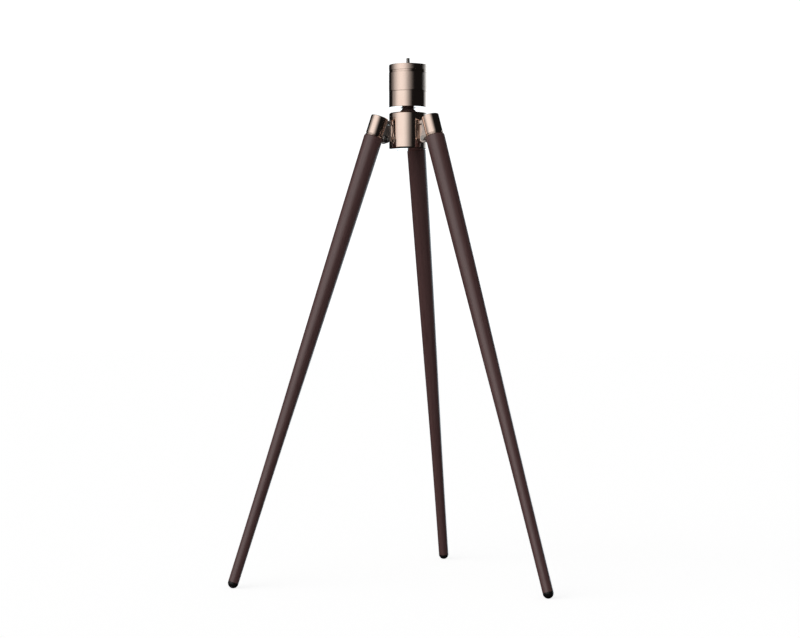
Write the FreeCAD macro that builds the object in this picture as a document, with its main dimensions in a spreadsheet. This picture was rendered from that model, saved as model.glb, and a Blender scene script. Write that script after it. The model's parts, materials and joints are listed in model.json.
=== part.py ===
"""Wooden field tripod with a ring-locked ball head.

Three turned wooden legs hinge on a round metal hub.  An inverted ball head stands on the
hub: the ball is fixed, the housing tilts and swings on it, a sleeve locks it and a
turning platform carries the camera screw.

Millimetres, Z up, feet on Z = 0, rear leg towards +Y.
"""
import FreeCAD
import Part
import Sketcher
import math
import os

SIZES = [
    # stance
    ("foot_circle", 300.0),        # tripod axis to each foot's centre
    ("leg_tilt", 18.0),            # leg from the vertical, degrees
    ("foot_radius", 8.7),
    # leg, measured along its own axis from the tip of the foot
    ("foot_length", 10.0),
    # the wood's turned profile: hollow near the foot, full towards the top
    ("wood_low", 115.0),
    ("wood_low_radius", 9.09),
    ("wood_shin", 220.0),
    ("wood_shin_radius", 9.87),
    ("wood_waist", 325.0),
    ("wood_waist_radius", 11.05),
    ("wood_calf", 477.5),
    ("wood_calf_radius", 13.12),
    ("wood_high", 630.0),
    ("wood_high_radius", 14.77),
    ("wood_top", 782.6),
    ("wood_top_radius", 16.0),
    ("tenon_radius", 12.3),
    ("tenon_top", 807.4),
    ("ring_height", 2.9),
    ("ring_radius", 14.2),
    ("ring_bead", 1.6),
    ("cap_bottom", 785.6),
    ("cap_top", 818.6),
    ("cap_radius", 14.7),
    ("cap_round", 1.0),
    ("cap_groove_height", 1.3),
    ("cap_groove_depth", 0.8),
    ("hanger_radius", 4.0),
    ("hanger_bottom", 765.0),
    ("hanger_top", 815.5),
    ("foot_screw_radius", 2.0),
    ("foot_screw_top", 40.0),
    ("foot_screw_head", 4.5),
    # leg hinge: the pin's place seen from the leg, along it and inwards from its axis
    ("pin_along", 786.6),
    ("pin_inward", 19.4),
    ("pin_radius", 2.5),
    ("ear_radius", 7.6),
    ("ear_half_width", 7.6),
    ("ear_slope", 50.0),           # where the ear's round ends, degrees
    ("ear_back", 16.2),
    ("ear_root", 787.0),
    ("pad_inward", 15.8),
    ("slot_floor", 14.35),
    ("slot_half_width", 5.15),
    ("stop_bottom", 811.5),
    ("stop_top", 817.0),
    ("stop_gap", 0.2),
    ("web_half_width", 5.0),
    ("web_end_radius", 4.8),
    ("web_top", 765.0),
    ("hinge_head_radius", 5.2),
    ("hinge_head_height", 1.9),
    ("hinge_head_round", 1.3),
    ("hinge_nut_radius", 4.6),
    ("hinge_nut_height", 2.3),
    ("side_gap", 0.15),
    # hub
    ("hub_radius", 32.0),
    ("hub_bottom", 726.0),
    ("hub_top", 787.0),
    ("hub_round", 4.5),
    ("hub_chamfer", 1.5),
    ("hub_cavity_radius", 22.0),
    ("hub_cavity_top", 775.0),
    ("plate_radius", 26.0),
    ("plate_thickness", 4.0),
    ("plate_inset", 0.1),
    ("plate_screw_circle", 24.0),
    ("plate_screw_radius", 1.5),
    ("plate_screw_head", 1.9),
    ("plate_screw_sink", 1.5),
    ("plate_screw_length", 11.0),
    # bolt that holds the ball's stem on the hub
    ("bolt_radius", 4.7),
    ("bolt_fit", 0.06),
    ("bolt_head_radius", 8.0),
    ("bolt_head_height", 6.0),
    ("washer_radius", 11.0),
    ("washer_height", 2.0),
    ("bolt_reach", 13.0),
    # ball and stem
    ("ball_centre", 812.0),
    ("ball_radius", 17.0),
    ("neck_radius", 8.5),
    ("flare_radius", 15.5),
    ("flare_foot", 1.1),
    ("flare_top", 796.4),
    ("flare_curve", 60.0),
    ("rest_gap", 0.1),
    # head housing
    ("head_radius", 32.25),
    ("head_bottom", 796.3),
    ("head_shoulder", 822.8),
    ("head_edge", 0.4),
    ("mouth_radius", 13.2),
    ("mouth_throat", 14.0),
    ("seat_bottom", 801.4),
    ("seat_radius", 20.0),
    ("seat_gap", 0.3),
    ("core_radius", 27.1),
    ("core_ceiling", 838.0),
    ("core_top", 846.0),
    # clamping parts
    ("cup_gap", 0.5),
    ("cup_radius", 19.7),
    ("cup_bottom", 816.2),
    ("cup_top", 833.0),
    ("cup_bore", 6.0),
    ("spring_top", 836.8),
    ("spring_sheet", 1.4),
    ("spring_inner", 8.0),
    ("spring_outer", 18.0),
    ("thrust_circle", 15.5),
    ("thrust_radius", 2.0),
    ("thrust_fit", 0.06),
    ("thrust_top", 848.8),
    # lock ring
    ("ring_gap", 0.15),
    ("lock_inner", 27.4),
    ("lock_top", 855.0),
    ("lock_flange", 849.2),
    ("lock_flange_bore", 12.8),
    ("lock_edge", 0.5),
    # bearing plate, spindle and platform
    ("bearing_radius", 32.1),
    ("bearing_top", 857.65),
    ("bearing_boss", 12.0),
    ("bearing_boss_bottom", 846.1),
    ("spindle_radius", 7.0),
    ("spindle_fit", 0.06),
    ("spindle_bottom", 840.0),
    ("spindle_root", 6.0),
    ("spindle_top", 862.9),
    ("spindle_neck", 5.8),
    ("clip_bottom", 861.2),
    ("clip_height", 1.2),
    ("clip_radius", 9.5),
    ("platform_bottom", 857.8),
    ("platform_top", 868.0),
    ("platform_radius", 32.2),
    ("platform_edge", 0.8),
    ("recess_radius", 12.0),
    ("recess_bottom", 861.0),
    ("pad_thickness", 1.2),
    ("pad_radius", 27.5),
    ("stud_radius", 3.175),
    ("stud_top", 880.0),
    ("stud_chamfer", 0.6),
    ("stud_flange_height", 3.4),
    ("stud_collar", 5.0),
]
LEGS = {"rear": 90.0, "left": 210.0, "right": 330.0}


class Dim:
    """A number kept together with the spreadsheet expression that gives it."""

    def __init__(self, value, text=None):
        self.value = float(value)
        self.text = text or repr(float(value))

    def _join(self, other, sign, value):
        return Dim(value, f"({self.text} {sign} {other.text})")

    def __add__(self, other):
        other = dim(other)
        return self._join(other, "+", self.value + other.value)

    def __sub__(self, other):
        other = dim(other)
        return self._join(other, "-", self.value - other.value)

    def __mul__(self, other):
        other = dim(other)
        return self._join(other, "*", self.value * other.value)

    def __truediv__(self, other):
        other = dim(other)
        return self._join(other, "/", self.value / other.value)


def dim(number):
    return number if isinstance(number, Dim) else Dim(number)


def sine(angle):
    return Dim(math.sin(math.radians(angle.value)), f"sin({angle.text} * 1deg)")


def cosine(angle):
    return Dim(math.cos(math.radians(angle.value)), f"cos({angle.text} * 1deg)")


def root(square):
    return Dim(math.sqrt(square.value), f"sqrt({square.text})")


doc = FreeCAD.newDocument("FieldTripod")
sheet = doc.addObject("Spreadsheet::Sheet", "Sizes")
size = {}
for row, (alias, number) in enumerate(SIZES, start=1):
    sheet.set(f"A{row}", str(number))
    sheet.setAlias(f"A{row}", alias)
    size[alias] = Dim(number, f"Sizes.{alias}")
doc.recompute()

nodes = {}
# The feet's bounding box is centred on the origin, so the tripod axis stands behind it.
AXIS = FreeCAD.Placement(
    FreeCAD.Vector(0, -size["foot_circle"].value / 4, 0), FreeCAD.Rotation()
)
Z_AXIS = FreeCAD.Vector(0, 0, 1)


# ---------------------------------------------------------------- drawing helpers
def bind(target, prop, amount):
    """Set a property from a size, so that it follows the spreadsheet."""
    amount = dim(amount)
    target.setExpression(prop, amount.text)


def keep(node, target, placement=AXIS):
    """Name a finished piece and put it in its place."""
    target.Label = node
    target.Placement = placement
    nodes[node] = target
    return target


def origin_feature(body, role):
    for feature in body.Origin.OriginFeatures:
        if feature.Role == role:
            return feature
    raise ValueError(role)


def pin_point(sketch, geometry, end, place):
    """Fix one end of one line or arc at a place given by two sizes."""
    for kind, amount, axis in (("DistanceX", place[0], -2), ("DistanceY", place[1], -1)):
        amount = dim(amount)
        if amount.value == 0:
            sketch.addConstraint(
                Sketcher.Constraint("PointOnObject", geometry, end, axis)
            )
        else:
            index = sketch.addConstraint(
                Sketcher.Constraint(kind, -1, 1, geometry, end, amount.value)
            )
            sketch.setExpression(f"Constraints[{index}]", amount.text)


def arc_between(start, stop, radius, side):
    """Arc from start to stop; side 1 puts its centre on the left of that direction."""
    middle = (start + stop) * 0.5
    chord = stop - start
    reach = math.sqrt(max(radius**2 - chord.Length**2 / 4, 0.0))
    left = FreeCAD.Vector(-chord.y, chord.x, 0).normalize()
    centre = middle + left * (reach * side)
    first, last = (start, stop) if side > 0 else (stop, start)
    angles = [math.atan2(p.y - centre.y, p.x - centre.x) for p in (first, last)]
    return Part.ArcOfCircle(Part.Circle(centre, Z_AXIS, radius), *angles)


def outline(body, name, points, arcs=None, plane="XZ_Plane"):
    """Closed sketch through the points; arcs maps a side's number to (radius, side)."""
    arcs = arcs or {}
    sketch = body.newObject("Sketcher::SketchObject", name)
    sketch.AttachmentSupport = (origin_feature(body, plane), [""])
    sketch.MapMode = "FlatFace"
    places = [
        FreeCAD.Vector(dim(x).value, dim(y).value, 0) for x, y in points
    ]
    count = len(points)
    ends = []
    for i in range(count):
        start, stop = places[i], places[(i + 1) % count]
        if i in arcs:
            radius, side = arcs[i]
            radius = dim(radius)
            piece = sketch.addGeometry(arc_between(start, stop, radius.value, side))
            index = sketch.addConstraint(
                Sketcher.Constraint("Radius", piece, radius.value)
            )
            sketch.setExpression(f"Constraints[{index}]", radius.text)
            ends.append((1, 2) if side > 0 else (2, 1))
        else:
            sketch.addGeometry(Part.LineSegment(start, stop))
            ends.append((1, 2))
    for i in range(count):
        after = (i + 1) % count
        sketch.addConstraint(
            Sketcher.Constraint("Coincident", i, ends[i][1], after, ends[after][0])
        )
        pin_point(sketch, i, ends[i][0], points[i])
    return sketch


def turned(name, points, arcs=None):
    """Body turned about its own Z from a half outline of (radius, height) points."""
    body = doc.addObject("PartDesign::Body", name)
    sketch = outline(body, f"{name}_outline", points, arcs)
    turn = body.newObject("PartDesign::Revolution", f"{name}_turn")
    turn.Profile = sketch
    turn.ReferenceAxis = (sketch, ["V_Axis"])
    turn.Angle = 360.0
    sketch.Visibility = False
    return body


def extruded(body, kind, name, points, width, arcs=None):
    """Pad or pocket, half of its width to each side of the body's XZ plane."""
    sketch = outline(body, f"{name}_outline", points, arcs)
    feature = body.newObject(f"PartDesign::{kind}", name)
    feature.Profile = sketch
    feature.SideType = "Symmetric"
    bind(feature, "Length", width)
    sketch.Visibility = False
    return feature


def bored(body, name, place, radius, width):
    """Round hole along the body's Y, through the middle of the body."""
    sketch = body.newObject("Sketcher::SketchObject", f"{name}_outline")
    sketch.AttachmentSupport = (origin_feature(body, "XZ_Plane"), [""])
    sketch.MapMode = "FlatFace"
    centre = FreeCAD.Vector(dim(place[0]).value, dim(place[1]).value, 0)
    sketch.addGeometry(Part.Circle(centre, Z_AXIS, dim(radius).value))
    pin_point(sketch, 0, 3, place)
    index = sketch.addConstraint(Sketcher.Constraint("Radius", 0, dim(radius).value))
    sketch.setExpression(f"Constraints[{index}]", dim(radius).text)
    hole = body.newObject("PartDesign::Pocket", name)
    hole.Profile = sketch
    hole.SideType = "Symmetric"
    bind(hole, "Length", width)
    sketch.Visibility = False
    return hole


def rod(name, radius, bottom, top, x=0.0):
    """Plain upright cylinder, its axis at a distance x along X."""
    piece = doc.addObject("Part::Cylinder", name)
    bind(piece, "Radius", radius)
    bind(piece, "Height", dim(top) - bottom)
    bind(piece, "Placement.Base.x", x)
    bind(piece, "Placement.Base.z", bottom)
    return piece


def gather(name, pieces, placement=FreeCAD.Placement()):
    """Compound of pieces, which keep their own places inside it."""
    group = doc.addObject("Part::Compound", name)
    group.Links = pieces
    group.Placement = placement
    return group


def around(name, make, angles):
    """One node made of the same piece repeated at several angles about Z."""
    copies = []
    for angle in angles:
        copy = f"{name}_{int(angle)}"
        turn = FreeCAD.Placement(FreeCAD.Vector(), FreeCAD.Rotation(Z_AXIS, angle))
        copies.append(gather(f"{copy}_turned", [make(copy)], turn))
    return gather(name, copies)


# ---------------------------------------------------------------- legs
tilt = size["leg_tilt"]


def reach(along, inward):
    """Distance from the tripod axis of a point that is given in a leg's own frame."""
    lean = (size["foot_radius"] - along) * sine(tilt)
    return size["foot_circle"] + lean - dim(inward) * cosine(tilt)


def rise(along, inward):
    """Height above the ground of a point that is given in a leg's own frame."""
    stand = size["foot_radius"] - (size["foot_radius"] - along) * cosine(tilt)
    return stand - dim(inward) * sine(tilt)


def leg_placement(azimuth):
    """Leg frame: origin at the foot's tip, Z up the leg, X inwards to the tripod axis."""
    tip = FreeCAD.Vector(reach(dim(0), 0).value, 0, rise(dim(0), 0).value)
    swing = FreeCAD.Rotation(Z_AXIS, azimuth)
    facing = FreeCAD.Rotation(Z_AXIS, azimuth + 180)
    lean = FreeCAD.Rotation(FreeCAD.Vector(0, 1, 0), tilt.value)
    local = FreeCAD.Placement(swing.multVec(tip), facing.multiply(lean))
    return AXIS.multiply(local)


def leg_shaft(name):
    screw = size["foot_screw_radius"]
    hanger = size["hanger_radius"]
    return turned(name, [
        (screw, size["foot_length"]),
        (size["foot_radius"], size["foot_length"]),
        (size["wood_low_radius"], size["wood_low"]),
        (size["wood_shin_radius"], size["wood_shin"]),
        (size["wood_waist_radius"], size["wood_waist"]),
        (size["wood_calf_radius"], size["wood_calf"]),
        (size["wood_high_radius"], size["wood_high"]),
        (size["wood_top_radius"], size["wood_top"]),
        (size["tenon_radius"], size["wood_top"]),
        (size["tenon_radius"], size["tenon_top"]),
        (hanger, size["tenon_top"]),
        (hanger, size["hanger_bottom"]),
        (0, size["hanger_bottom"]),
        (0, size["foot_screw_top"]),
        (screw, size["foot_screw_top"]),
    ])


def foot_tip(name):
    head = size["foot_screw_head"] + 0.05
    return turned(name, [
        (0, 0),
        (size["foot_radius"], size["foot_radius"]),
        (size["foot_radius"], size["foot_length"] - 0.05),
        (size["foot_screw_radius"], size["foot_length"] - 0.05),
        (size["foot_screw_radius"], 4.6),
        (head, 4.6),
        (head, 2.9),
        (0, 2.9),
    ], {0: (size["foot_radius"], 1)})


def foot_screw(name):
    shank = size["foot_screw_radius"] - 0.03
    return turned(name, [
        (0, 3.0),
        (size["foot_screw_head"], 3.0),
        (size["foot_screw_head"], 4.5),
        (shank, 4.5),
        (shank, size["foot_screw_top"] - 0.5),
        (0, size["foot_screw_top"] - 0.5),
    ])


def leg_ring(name):
    bottom = size["wood_top"] + 0.05
    top = size["wood_top"] + size["ring_height"]
    return turned(name, [
        (size["tenon_radius"] + 0.05, bottom),
        (size["ring_radius"], bottom),
        (size["ring_radius"], top),
        (size["tenon_radius"] + 0.05, top),
    ], {1: (size["ring_bead"], 1)})


def leg_cap(name):
    """Metal cap on the leg's top: a turned socket with two hinge ears and a stop."""
    socket = size["tenon_radius"] + 0.05
    groove = size["cap_radius"] - size["cap_groove_depth"]
    groove_top = size["cap_bottom"] + size["cap_groove_height"]
    body = turned(name, [
        (socket, size["cap_bottom"]),
        (groove, size["cap_bottom"]),
        (groove, groove_top),
        (size["cap_radius"], groove_top),
        (size["cap_radius"], size["cap_top"] - size["cap_round"]),
        (size["cap_radius"] - size["cap_round"], size["cap_top"]),
        (0, size["cap_top"]),
        (0, size["hanger_top"] + 0.3),
        (size["hanger_radius"], size["hanger_top"] + 0.3),
        (size["hanger_radius"], size["tenon_top"] + 0.2),
        (socket, size["tenon_top"] + 0.2),
    ], {4: (size["cap_round"], 1)})

    pin = (size["pin_inward"], size["pin_along"])
    ear = size["ear_radius"]
    slope = size["ear_slope"]
    back = pin[0] - size["ear_back"]
    round_start = (size["ear_back"], pin[1] - root(ear * ear - back * back))
    round_end = (pin[0] + ear * cosine(slope), pin[1] + ear * sine(slope))
    pad_start = round_end[1] + (round_end[0] - size["pad_inward"]) * (
        cosine(slope) / sine(slope)
    )
    inside = size["cap_radius"] - 2.0

    def stop_face(along):
        """Where the stop meets the hub, with the leg spread."""
        wall = size["hub_radius"] + size["stop_gap"]
        return (reach(along, 0) - wall) / cosine(tilt)

    extruded(body, "Pad", f"{name}_ears", [
        (inside, size["ear_root"]),
        (size["ear_back"], size["ear_root"]),
        round_start,
        round_end,
        (size["pad_inward"], pad_start),
        (size["pad_inward"], size["stop_bottom"]),
        (stop_face(size["stop_bottom"]), size["stop_bottom"]),
        (stop_face(size["stop_top"]), size["stop_top"]),
        (inside, size["stop_top"]),
    ], size["ear_half_width"] * 2, {2: (ear, 1)})
    extruded(body, "Pocket", f"{name}_slot", [
        (size["slot_floor"], pin[1] - ear - 2),
        (pin[0] + ear + 2, pin[1] - ear - 2),
        (pin[0] + ear + 2, size["stop_bottom"]),
        (size["slot_floor"], size["stop_bottom"]),
    ], size["slot_half_width"] * 2)
    bored(body, f"{name}_pin_bore", pin, size["pin_radius"] + size["bolt_fit"],
          size["ear_half_width"] * 2 + 2)
    return body


def hanger_bolt(name):
    radius = size["hanger_radius"] - 0.02
    bottom = size["hanger_bottom"] + 0.5
    return turned(name, [
        (0, bottom),
        (radius, bottom),
        (radius, size["hanger_top"]),
        (0, size["hanger_top"]),
    ])


LEG_PIECES = {
    "leg_shaft": leg_shaft,
    "foot_tip": foot_tip,
    "foot_screw": foot_screw,
    "leg_ring": leg_ring,
    "leg_cap": leg_cap,
    "hanger_bolt": hanger_bolt,
}
for side, azimuth in LEGS.items():
    for kind, make in LEG_PIECES.items():
        node = f"{kind}_{side}"
        keep(node, make(node), leg_placement(azimuth))


# ---------------------------------------------------------------- hub
pin_reach = reach(size["pin_along"], size["pin_inward"])
pin_rise = rise(size["pin_along"], size["pin_inward"])

plate_top = size["hub_bottom"] + size["plate_inset"] + size["plate_thickness"]
hub = turned("hub_body", [
    (size["bolt_radius"] + 0.3, size["hub_cavity_top"]),
    (size["hub_cavity_radius"], size["hub_cavity_top"]),
    (size["hub_cavity_radius"], plate_top),
    (size["plate_radius"], plate_top),
    (size["plate_radius"], size["hub_bottom"]),
    (size["hub_radius"] - size["hub_round"], size["hub_bottom"]),
    (size["hub_radius"], size["hub_bottom"] + size["hub_round"]),
    (size["hub_radius"], size["hub_top"] - size["hub_chamfer"]),
    (size["hub_radius"] - size["hub_chamfer"], size["hub_top"]),
    (size["bolt_radius"] + 0.3, size["hub_top"]),
], {5: (size["hub_round"], 1)})

# One flat web for each leg, rounded about the hinge pin and cut off along the cap.
end = size["web_end_radius"]
face_start = (pin_reach + end * cosine(tilt), pin_rise + end * sine(tilt))
face_top = face_start[0] - (size["web_top"] - face_start[1]) * (sine(tilt) / cosine(tilt))
web_root = size["hub_radius"] - 2.0
web = extruded(hub, "Pad", "hub_web", [
    (web_root, pin_rise - end),
    (pin_reach, pin_rise - end),
    face_start,
    (face_top, size["web_top"]),
    (web_root, size["web_top"]),
], size["web_half_width"] * 2, {1: (end, 1)})
web_bore = bored(hub, "hub_web_bore", (pin_reach, pin_rise), size["pin_radius"],
                 size["web_half_width"] * 2 + 2)
webs = hub.newObject("PartDesign::PolarPattern", "hub_webs")
webs.Originals = [web, web_bore]
webs.Axis = (origin_feature(hub, "Z_Axis"), [""])
webs.Angle = 360.0
webs.Occurrences = len(LEGS)
hub.Tip = webs
first_leg = FreeCAD.Placement(FreeCAD.Vector(), FreeCAD.Rotation(Z_AXIS, LEGS["rear"]))

# Threaded holes for the base plate's screws, between the webs.
between = [azimuth + 60 for azimuth in LEGS.values()]
screw_bottom = size["hub_bottom"] + size["plate_inset"]
holes = around("hub_screw_holes", lambda name: rod(
    name, size["plate_screw_radius"] + 0.02, plate_top - 1,
    screw_bottom + size["plate_screw_length"] + 0.5, size["plate_screw_circle"],
), between)
hub.Placement = first_leg
drilled_hub = doc.addObject("Part::Cut", "hub_drilled")
drilled_hub.Base = hub
drilled_hub.Tool = holes
hub.Label = "hub_blank"
keep("hub_body", drilled_hub)

head_seat = screw_bottom + size["plate_screw_sink"]


def plate_bore(name):
    """Stepped hole that lets a screw's head sit below the plate's face."""
    through = rod(f"{name}_through", size["plate_screw_radius"] + 0.1, screw_bottom - 1,
                  plate_top + 1, size["plate_screw_circle"])
    sink = rod(f"{name}_sink", size["plate_screw_head"] + 0.15, screw_bottom - 2,
               head_seat, size["plate_screw_circle"])
    whole = doc.addObject("Part::Fuse", name)
    whole.Base = through
    whole.Tool = sink
    return whole


plate_blank = rod("base_plate_blank", size["plate_radius"] - 0.1, screw_bottom, plate_top - 0.05)
plate_cuts = around("base_plate_bores", plate_bore, between)
plate = doc.addObject("Part::Cut", "base_plate_cut")
plate.Base = plate_blank
plate.Tool = plate_cuts
keep("base_plate", plate)


def plate_screw(name):
    """Screw whose head is sunk into the base plate."""
    shank = rod(f"{name}_shank", size["plate_screw_radius"], head_seat - 0.05,
                screw_bottom + size["plate_screw_length"], size["plate_screw_circle"])
    head = rod(f"{name}_head", size["plate_screw_head"], screw_bottom + 0.15,
               head_seat - 0.05, size["plate_screw_circle"])
    whole = doc.addObject("Part::Fuse", name)
    whole.Base = shank
    whole.Tool = head
    return whole


keep("base_screws", around("base_screw_set", plate_screw, between))


def across(name, make):
    """The same hinge piece on all three legs, its own Z along the hinge."""
    spot = FreeCAD.Vector(pin_reach.value, 0, pin_rise.value)
    lay = FreeCAD.Placement(spot, FreeCAD.Rotation(FreeCAD.Vector(1, 0, 0), -90))
    copies = []
    for azimuth in LEGS.values():
        copy = f"{name}_{int(azimuth)}"
        swing = FreeCAD.Placement(FreeCAD.Vector(), FreeCAD.Rotation(Z_AXIS, azimuth))
        copies.append(gather(f"{copy}_placed", [make(copy)], swing.multiply(lay)))
    return gather(name, copies)


grip = size["ear_half_width"] + size["side_gap"]
tail = grip + size["hinge_nut_height"] + 0.3


def hinge_screw(name):
    """Shouldered screw: threaded tail at Z = 0, round-edged head at the far end."""
    under_head = tail + grip
    top = under_head + size["hinge_head_height"]
    body = turned(name, [
        (0, 0),
        (size["pin_radius"], 0),
        (size["pin_radius"], under_head),
        (size["hinge_head_radius"], under_head),
        (size["hinge_head_radius"], top - size["hinge_head_round"]),
        (size["hinge_head_radius"] - size["hinge_head_round"], top),
        (0, top),
    ], {4: (size["hinge_head_round"], 1)})
    body.Placement = FreeCAD.Placement(FreeCAD.Vector(0, 0, -tail.value), FreeCAD.Rotation())
    return body


def hinge_nut(name):
    prism = doc.addObject("Part::Prism", f"{name}_hexagon")
    prism.Polygon = 6
    bind(prism, "Circumradius", size["hinge_nut_radius"])
    bind(prism, "Height", size["hinge_nut_height"])
    thread = doc.addObject("Part::Cylinder", f"{name}_thread")
    bind(thread, "Radius", size["pin_radius"] + 0.02)
    bind(thread, "Height", size["hinge_nut_height"])
    nut = doc.addObject("Part::Cut", name)
    nut.Base = prism
    nut.Tool = thread
    low = -(grip + size["hinge_nut_height"]).value
    nut.Placement = FreeCAD.Placement(FreeCAD.Vector(0, 0, low), FreeCAD.Rotation())
    return nut


keep("hinge_screws", across("hinge_screw_set", hinge_screw))
keep("hinge_nuts", across("hinge_nut_set", hinge_nut))

washer_bottom = size["hub_cavity_top"] - size["washer_height"]
keep("centre_washer", turned("centre_washer", [
    (size["bolt_radius"] + 0.3, washer_bottom),
    (size["washer_radius"], washer_bottom),
    (size["washer_radius"], size["hub_cavity_top"]),
    (size["bolt_radius"] + 0.3, size["hub_cavity_top"]),
]))
keep("centre_bolt", turned("centre_bolt", [
    (0, washer_bottom - size["bolt_head_height"]),
    (size["bolt_head_radius"], washer_bottom - size["bolt_head_height"]),
    (size["bolt_head_radius"], washer_bottom),
    (size["bolt_radius"], washer_bottom),
    (size["bolt_radius"], size["hub_top"] + size["bolt_reach"]),
    (0, size["hub_top"] + size["bolt_reach"]),
]))


# ---------------------------------------------------------------- ball head
ball = size["ball_radius"]
centre = size["ball_centre"]
neck = size["neck_radius"]
stem_bottom = size["hub_top"] + size["rest_gap"]
stem_bore = size["bolt_radius"] + size["bolt_fit"]
keep("ball_stem", turned("ball_stem", [
    (stem_bore, stem_bottom),
    (size["flare_radius"], stem_bottom),
    (size["flare_radius"], stem_bottom + size["flare_foot"]),
    (neck, size["flare_top"]),
    (neck, centre - root(ball * ball - neck * neck)),
    (0, centre + ball),
    (0, size["hub_top"] + size["bolt_reach"] + 0.5),
    (stem_bore, size["hub_top"] + size["bolt_reach"] + 0.5),
], {2: (size["flare_curve"], -1), 4: (ball, 1)}))

shoulder = size["head_shoulder"]
spindle_bore = size["spindle_root"] + 0.03
housing = turned("head_housing", [
    (size["mouth_throat"], size["seat_bottom"]),
    (size["mouth_radius"], size["head_bottom"]),
    (size["head_radius"] - size["head_edge"], size["head_bottom"]),
    (size["head_radius"], size["head_bottom"] + size["head_edge"]),
    (size["head_radius"], shoulder),
    (size["core_radius"], shoulder),
    (size["core_radius"], size["core_top"]),
    (spindle_bore, size["core_top"]),
    (spindle_bore, size["core_ceiling"]),
    (size["seat_radius"], size["core_ceiling"]),
    (size["seat_radius"], size["seat_bottom"]),
], {2: (size["head_edge"], 1)})
thrust_angles = [30, 150, 270]
thrust_holes = around("thrust_holes", lambda name: rod(
    name, size["thrust_radius"] + size["thrust_fit"], size["core_ceiling"] - 1,
    size["core_top"] + 1, size["thrust_circle"],
), thrust_angles)
drilled_housing = doc.addObject("Part::Cut", "housing_drilled")
drilled_housing.Base = housing
drilled_housing.Tool = thrust_holes
housing.Label = "housing_blank"
keep("head_housing", drilled_housing)


def ball_round(gap, height):
    """Radius at a height of a hollow sphere that clears the ball by a gap."""
    hollow = ball + gap
    lift = dim(height) - centre
    return root(hollow * hollow - lift * lift)


seat_floor = size["seat_bottom"] + 0.05
keep("ball_seat", turned("ball_seat", [
    (ball_round(size["seat_gap"], seat_floor), seat_floor),
    (size["seat_radius"] - 0.05, seat_floor),
    (size["seat_radius"] - 0.05, centre),
    (ball + size["seat_gap"], centre),
], {3: (ball + size["seat_gap"], -1)}))

cup_height = root((ball + size["cup_gap"]) * (ball + size["cup_gap"])
                  - size["cup_bore"] * size["cup_bore"]) + centre
keep("pressure_cup", turned("pressure_cup", [
    (ball_round(size["cup_gap"], size["cup_bottom"]), size["cup_bottom"]),
    (size["cup_radius"], size["cup_bottom"]),
    (size["cup_radius"], size["cup_top"]),
    (size["cup_bore"], size["cup_top"]),
    (size["cup_bore"], cup_height),
], {4: (ball + size["cup_gap"], -1)}))
keep("disc_spring", turned("disc_spring", [
    (size["spring_inner"], size["spring_top"] - size["spring_sheet"]),
    (size["spring_outer"], size["cup_top"] + 0.05),
    (size["spring_outer"], size["cup_top"] + size["spring_sheet"]),
    (size["spring_inner"], size["spring_top"]),
]))
keep("thrust_pins", around("thrust_pin_set", lambda name: rod(
    name, size["thrust_radius"], size["spring_top"] + 0.1, size["thrust_top"],
    size["thrust_circle"],
), thrust_angles))

edge = size["lock_edge"]
lock_bottom = shoulder + size["ring_gap"]
keep("lock_ring", turned("lock_ring", [
    (size["lock_inner"], lock_bottom),
    (size["head_radius"] - edge, lock_bottom),
    (size["head_radius"], lock_bottom + edge),
    (size["head_radius"], size["lock_top"] - edge),
    (size["head_radius"] - edge, size["lock_top"]),
    (size["lock_flange_bore"], size["lock_top"]),
    (size["lock_flange_bore"], size["lock_flange"]),
    (size["lock_inner"], size["lock_flange"]),
]))
keep("bearing_plate", turned("bearing_plate", [
    (size["spindle_radius"] + 0.03, size["bearing_boss_bottom"]),
    (size["bearing_boss"], size["bearing_boss_bottom"]),
    (size["bearing_boss"], size["lock_top"] + size["ring_gap"]),
    (size["bearing_radius"], size["lock_top"] + size["ring_gap"]),
    (size["bearing_radius"], size["bearing_top"]),
    (size["spindle_radius"] + 0.03, size["bearing_top"]),
]))
clip_top = size["clip_bottom"] + size["clip_height"]
keep("pan_spindle", turned("pan_spindle", [
    (0, size["spindle_bottom"]),
    (size["spindle_root"], size["spindle_bottom"]),
    (size["spindle_root"], size["core_top"] + 0.05),
    (size["spindle_radius"], size["core_top"] + 0.05),
    (size["spindle_radius"], size["clip_bottom"]),
    (size["spindle_neck"], size["clip_bottom"]),
    (size["spindle_neck"], clip_top),
    (size["spindle_radius"], clip_top),
    (size["spindle_radius"], size["spindle_top"]),
    (0, size["spindle_top"]),
]))
keep("retaining_ring", turned("retaining_ring", [
    (size["spindle_neck"] + 0.02, size["clip_bottom"] + 0.03),
    (size["clip_radius"], size["clip_bottom"] + 0.03),
    (size["clip_radius"], clip_top - 0.03),
    (size["spindle_neck"] + 0.02, clip_top - 0.03),
]))

pad_floor = size["platform_top"] - size["pad_thickness"]
chamfer = size["platform_edge"]
keep("platform", turned("platform", [
    (size["spindle_radius"] + size["spindle_fit"], size["platform_bottom"]),
    (size["platform_radius"] - chamfer, size["platform_bottom"]),
    (size["platform_radius"], size["platform_bottom"] + chamfer),
    (size["platform_radius"], size["platform_top"] - chamfer),
    (size["platform_radius"] - chamfer, size["platform_top"]),
    (size["pad_radius"], size["platform_top"]),
    (size["pad_radius"], pad_floor),
    (size["recess_radius"], pad_floor),
    (size["recess_radius"], size["recess_bottom"]),
    (size["spindle_radius"] + size["spindle_fit"], size["recess_bottom"]),
]))
keep("platform_pad", turned("platform_pad", [
    (size["stud_collar"] + 0.1, pad_floor + 0.02),
    (size["pad_radius"] - 0.05, pad_floor + 0.02),
    (size["pad_radius"] - 0.05, size["platform_top"]),
    (size["stud_collar"] + 0.1, size["platform_top"]),
]))
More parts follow.
